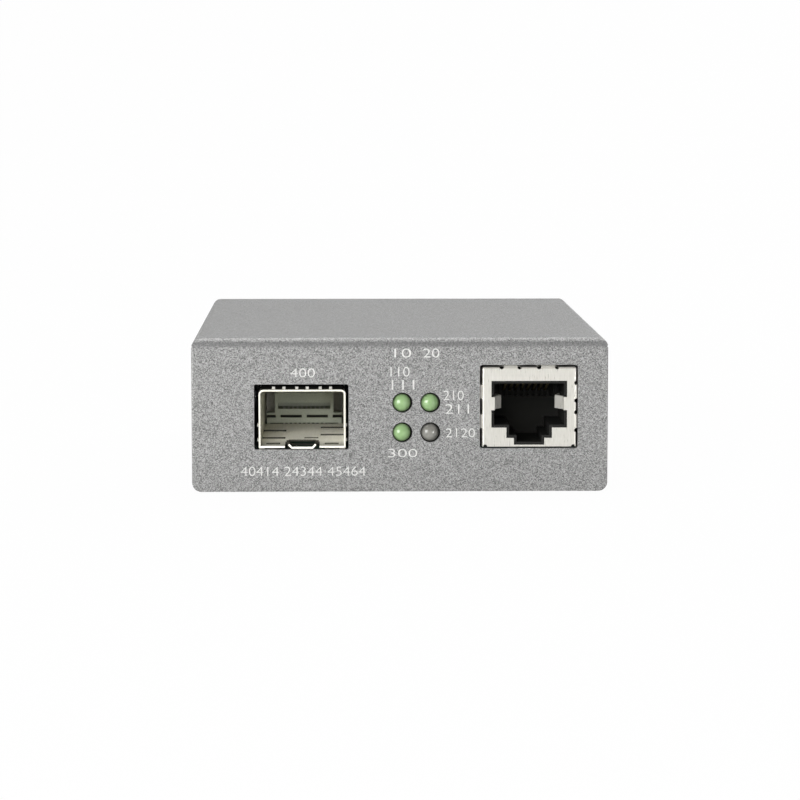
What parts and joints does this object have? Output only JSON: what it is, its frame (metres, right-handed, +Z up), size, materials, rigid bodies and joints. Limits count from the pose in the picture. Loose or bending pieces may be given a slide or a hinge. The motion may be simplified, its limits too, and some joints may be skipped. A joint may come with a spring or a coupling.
{
  "type": "fibre media converter",
  "caption": "Small folded-metal network box with a module cage, a shielded network jack and a block of lamps on its front and a DC inlet at the back; turns a copper link into an optical one.",
  "frame": {"origin": "middle of the base's underside, on the standing surface", "axes": "+Z up, front with the ports towards -Y, +X to the right as seen from the front"},
  "size_m": [0.07, 0.094, 0.026],
  "materials": {
    "case_paint": "fine metallic silver-grey powder coat",
    "zinc_plate": "bright zinc plate",
    "board_green": "green solder mask",
    "cage_nickel_silver": "stamped nickel silver, satin",
    "spring_plate": "tinned spring bronze, satin",
    "connector_plastic": "moulded, fine texture",
    "contact_gold": "gold plate",
    "tinned_sheet": "rolled tinned sheet, brushed upright",
    "black_plastic": "moulded, satin",
    "tinned_wire": "tin plate",
    "package_black": "moulded epoxy, matte",
    "can_metal": "drawn nickel-plated can",
    "ferrite": "pressed ferrite, matte",
    "can_aluminium": "drawn aluminium, satin",
    "chip_ceramic": "fired ceramic, matte",
    "lamp_green": "diffused pale green epoxy",
    "lamp_unlit": "diffused clear grey epoxy"
  },
  "bodies": {
    "root": {"lid": "case_paint", "tray": "case_paint", "case_screws": "zinc_plate", "standoffs": "zinc_plate", "circuit_board": "board_green", "board_screws": "zinc_plate", "sfp_cage": "cage_nickel_silver", "sfp_cage_floor": "cage_nickel_silver", "sfp_ground_springs": "spring_plate", "sfp_connector": "connector_plastic", "sfp_connector_contacts": "contact_gold", "rj45_shield": "tinned_sheet", "rj45_housing": "black_plastic", "rj45_insert": "black_plastic", "rj45_contacts": "contact_gold", "lamp_holder": "black_plastic", "lamp_leads": "tinned_wire", "inlet_body": "black_plastic", "inlet_pin": "tinned_wire", "inlet_spring": "tinned_wire", "inlet_switch": "tinned_wire", "line_transformer": "package_black", "line_transformer_leads": "tinned_wire", "converter_chip": "package_black", "converter_chip_leads": "tinned_wire", "crystal": "can_metal", "power_inductor": "ferrite", "input_capacitor": "can_aluminium", "output_capacitor": "can_aluminium", "voltage_regulator": "package_black", "regulator_leads": "tinned_wire", "chip_parts": "chip_ceramic", "lamp_lower_left": "lamp_green", "lamp_upper_left": "lamp_green", "lamp_lower_right": "lamp_unlit", "lamp_upper_right": "lamp_green"}
  },
  "joints": []
}
